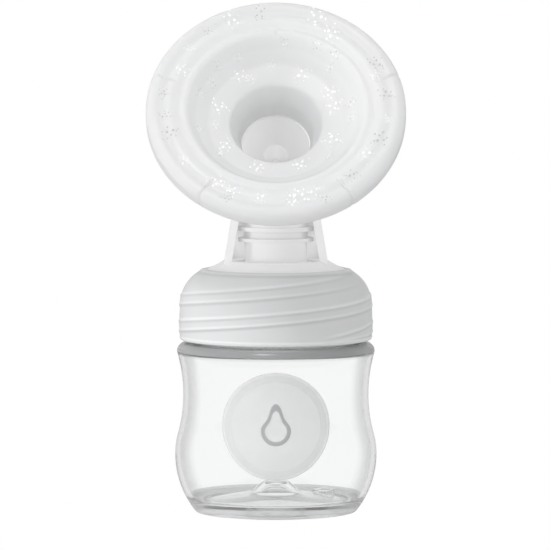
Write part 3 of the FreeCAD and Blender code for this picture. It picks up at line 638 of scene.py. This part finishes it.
def front_z(r):
    """Height of the cushion's front at a distance from its axis."""
    for (r0, z0), (r1, z1) in zip(front_points, front_points[1:]):
        if r0 <= r <= r1:
            return z0 + (z1 - z0) * ((r - r0) / max(1e-9, r1 - r0))
    return front_points[-1][1]


def domes(name, spots):
    """Low round bumps on the cushion's front. A spot is (x, y, radius, height) in its face."""
    verts, faces = [], []
    for x, y, radius, height in spots:
        r = math.hypot(x, y)
        slope = (front_z(r + 0.3) - front_z(r - 0.3)) / 0.6
        out_x, out_y = x / r, y / r
        normal = Vector((-slope * out_x, -slope * out_y, 1)).normalized()
        across = Vector((out_y, -out_x, 0)).normalized()
        along = normal.cross(across)
        center = Vector((x, y, front_z(r)))
        rows = []
        for width, level in DOME_SECTION:
            points = []
            for j in range(DOME_SIDES):
                angle = 2 * math.pi * j / DOME_SIDES
                point = (center + across * (radius * width * math.cos(angle))
                         + along * (radius * width * math.sin(angle)) + normal * (height * level))
                points.append(tuple(value * MM for value in point))
            rows.append(add_row(verts, points))
        for row, following in zip(rows, rows[1:]):
            faces += band(row, following)
        faces.append(rows[0][::-1])
        faces.append(rows[-1])
    return finish_mesh(name, verts, faces, sharp=0, place=CUSHION_PLACE)


def add_cluster(r, degrees, size, even, odd):
    """A loose cluster of bubbles, the large ones in the middle, dealt out to two lists."""
    center_x = r * math.cos(math.radians(degrees))
    center_y = r * math.sin(math.radians(degrees))
    turn = random.uniform(0, 360)
    bubbles = []
    for count, first, play, near, far, small, large in CLUSTER_RINGS:
        for j in range(count):
            angle = math.radians(turn + first + 360 / count * j + random.uniform(-play, play))
            away = random.uniform(near, far) * size
            radius = random.uniform(small, large) * size
            bubbles.append((away * math.cos(angle), away * math.sin(angle), radius))
    for j, (x, y, radius) in enumerate(bubbles):
        spots = even if j % 2 == 0 else odd
        spots.append((center_x + x, center_y + y, radius * 0.86, radius * 0.5))


bright_spots, grey_spots = [], []
for clusters, scale, even_spots, odd_spots in (
        (BRIGHT_CLUSTERS, 1.0, bright_spots, bright_spots),
        (GREY_CLUSTERS, 0.9, grey_spots, grey_spots),
        (MIXED_CLUSTERS, 0.9, bright_spots, grey_spots)):
    for distance, degrees_round, cluster_size in clusters:
        add_cluster(distance, degrees_round, cluster_size * scale, even_spots, odd_spots)
dots = domes("cushion_dots", bright_spots)
dots_grey = domes("cushion_dots_grey", grey_spots)

# ------------------------------------------------------------------ diaphragm
# (r, z[, arc radius]): a cup with a folded rim and a short hollow post on its floor
DIAPHRAGM_OUTLINE = [
    (0, 137.0), (16.0, 137.0), (17.8, 138.8, 1.8), (17.8, 151.03), (21.53, 151.03),
    (21.53, 148.97), (20.1, 148.97), (20.1, 147.8), (23.0, 147.8), (23.0, 151.7),
    (22.3, 152.4, 0.7), (17.1, 152.4), (16.4, 151.7, 0.7), (16.4, 140.0),
    (15.2, 138.8, -1.2), (6.0, 138.8), (6.0, 143.1), (5.6, 143.5), (3.05, 143.5),
    (3.05, 141.25), (4.45, 141.25), (4.45, 139.15), (0, 139.15)]
diaphragm = lathe("diaphragm_cup", soften(trace(DIAPHRAGM_OUTLINE, 0.3), 2), 160,
                  place=Matrix.Translation((0, CUP_Y, 0)))

# ------------------------------------------------------------------ bodies and hidden CAD parts
for ob in (bottle, bottle_thread, floor_ring, badge, badge_rim, badge_drop):
    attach(ob, "bottle_base")
for ob in (ring, ring_thread):
    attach(ob, "ring")
for ob in (cushion, dots, dots_grey):
    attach(ob, "pump_head")
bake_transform(diaphragm)
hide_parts("bottle")
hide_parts("screw_ring")
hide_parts("breast_cushion")
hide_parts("diaphragm")


def wear(ob, key):
    ob.data.materials.clear()
    ob.data.materials.append(MATERIALS[key])


def paint_bottle():
    """Gives the outside of the shoulder and of the foot their own materials, greyed as painted
    shade.
    """
    wear(bottle, "bottle")
    bottle.data.materials.append(MATERIALS["shoulder"])
    bottle.data.materials.append(MATERIALS["foot"])
    for face in bottle.data.polygons:
        center, normal = face.center, face.normal
        r, z = math.hypot(center.x, center.y), center.z
        outward = normal.x * center.x + normal.y * center.y
        if 0.0567 < z < 0.0602 and r > 0.0291 and outward + 0.02 * normal.z > 0:
            face.material_index = 1
        elif z < 0.0052 and r > 0.0240 and outward > 0:
            face.material_index = 2


def paint_tunnel_shade():
    """Paints shade into the pump body's tunnel behind the cushion."""
    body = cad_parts["pump_body"]
    body.data.materials.append(MATERIALS["body_inside"])
    to_cushion = CUSHION_PLACE.inverted() @ body.matrix_world
    for face in body.data.polygons:
        center = to_cushion @ face.center
        if -0.055 < center.z < -0.014 and math.hypot(center.x, center.y) < 0.0145:
            face.material_index = 1


paint_bottle()
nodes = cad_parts
for ob, key, slot in (
        (bottle_thread, "thread", "clear_bottle"),
        (floor_ring, "thread", "clear_bottle"),
        (badge, "badge", None),
        (badge_rim, "badge_rim", None),
        (badge_drop, "badge_mark", None),
        (ring, "ring", "frosted_ring"),
        (ring_thread, "ring", "frosted_ring"),
        (cushion, "cushion", "clear_silicone"),
        (dots, "dots", None),
        (dots_grey, "dots_grey", None),
        (diaphragm, "diaphragm", "grey_silicone"),
        (nodes["pump_body"], "body", "milky_body"),
        (nodes["duckbill_valve"], "valve", "white_silicone"),
        (nodes["stem"], "stem", "white_stem"),
        (nodes["handle"], "handle", "handle_plastic"),
        (nodes["handle_grip"], "grip", "soft_grip")):
    wear(ob, key)
paint_tunnel_shade()


# ------------------------------------------------------------------ world, lights and camera
def build_world():
    """Soft grey light, a little darker above and to the right (+X), that looks plain white
    to the camera and through clear parts."""
    world = bpy.data.worlds.new("studio")
    bpy.context.scene.world = world
    world.use_nodes = True
    tree = world.node_tree
    tree.nodes.clear()
    output = add_node(tree, "OutputWorld")
    rays = add_node(tree, "LightPath").outputs
    coords = add_node(tree, "TexCoord").outputs["Generated"]
    direction = add_node(tree, "SeparateXYZ", {0: coords}).outputs
    height = add_node(tree, "MapRange", {
        "From Min": -1.0, "From Max": 0.7, "Value": direction["Z"]})
    by_height = grey_ramp(tree, height.outputs["Result"], [(0.0, 0.90), (1.0, 0.76)])
    by_side = add_node(tree, "Math", {0: direction["X"], 1: -0.02, 2: 0.93},
                       operation="MULTIPLY_ADD")
    grey = multiply(tree, by_height, by_side.outputs[0])
    white = {"Color": (1, 1, 1, 1), "Strength": 1.0}
    lighting = add_node(tree, "Background", {"Color": grey, "Strength": 0.86})
    seen = add_node(tree, "Background", white)
    seen_through = add_node(tree, "Background", white)
    unseen = add_node(tree, "MixShader", {
        0: rays["Is Transmission Ray"], 1: lighting.outputs[0], 2: seen_through.outputs[0]})
    mixed = add_node(tree, "MixShader", {
        0: rays["Is Camera Ray"], 1: unseen.outputs[0], 2: seen.outputs[0]})
    tree.links.new(mixed.outputs[0], output.inputs[0])


def aim_at(ob, target):
    ob.rotation_euler = (Vector(target) - ob.location).to_track_quat("-Z", "Y").to_euler()


def area_light(name, location, target, size, power, glossy=False):
    light = bpy.data.lights.new(name, "AREA")
    light.shape = "DISK"
    light.size = size
    light.energy = power
    ob = bpy.data.objects.new(name, light)
    bpy.context.scene.collection.objects.link(ob)
    ob.location = location
    aim_at(ob, target)
    ob.visible_camera = False
    ob.visible_transmission = False
    ob.visible_glossy = glossy


def build_camera():
    """Looks from the front, slightly down."""
    elevation = math.radians(4.0)
    distance = 1.8
    view_width = 0.1925  # seen at the target
    target = Vector((-0.0003, 0, 0.0830))
    lens = bpy.data.cameras.new("camera")
    camera = bpy.data.objects.new("camera", lens)
    bpy.context.scene.collection.objects.link(camera)
    bpy.context.scene.camera = camera
    camera.location = target + Vector(
        (0, -distance * math.cos(elevation), distance * math.sin(elevation)))
    aim_at(camera, target)
    lens.sensor_width = 36.0
    lens.lens = lens.sensor_width * distance / view_width
    lens.clip_start = 0.05


build_world()
area_light("key_light", location=(-0.22, -0.66, 1.0), target=(0, 0, 0.11), size=0.30,
           power=4.6, glossy=True)
area_light("low_left_light", location=(-0.95, -0.30, 0.02), target=(0, 0, 0.07), size=0.25,
           power=2.9)
area_light("front_fill", location=(0.12, -1.3, 0.06), target=(0, 0, 0.10), size=0.35,
           power=1.2)
build_camera()

scene = bpy.context.scene
scene.view_settings.view_transform = "Standard"
scene.view_settings.look = "None"
scene.cycles.use_denoising = True
scene.cycles.max_bounces = 28
scene.cycles.transmission_bounces = 26
scene.cycles.glossy_bounces = 10
scene.cycles.transparent_max_bounces = 16
scene.cycles.caustics_refractive = True
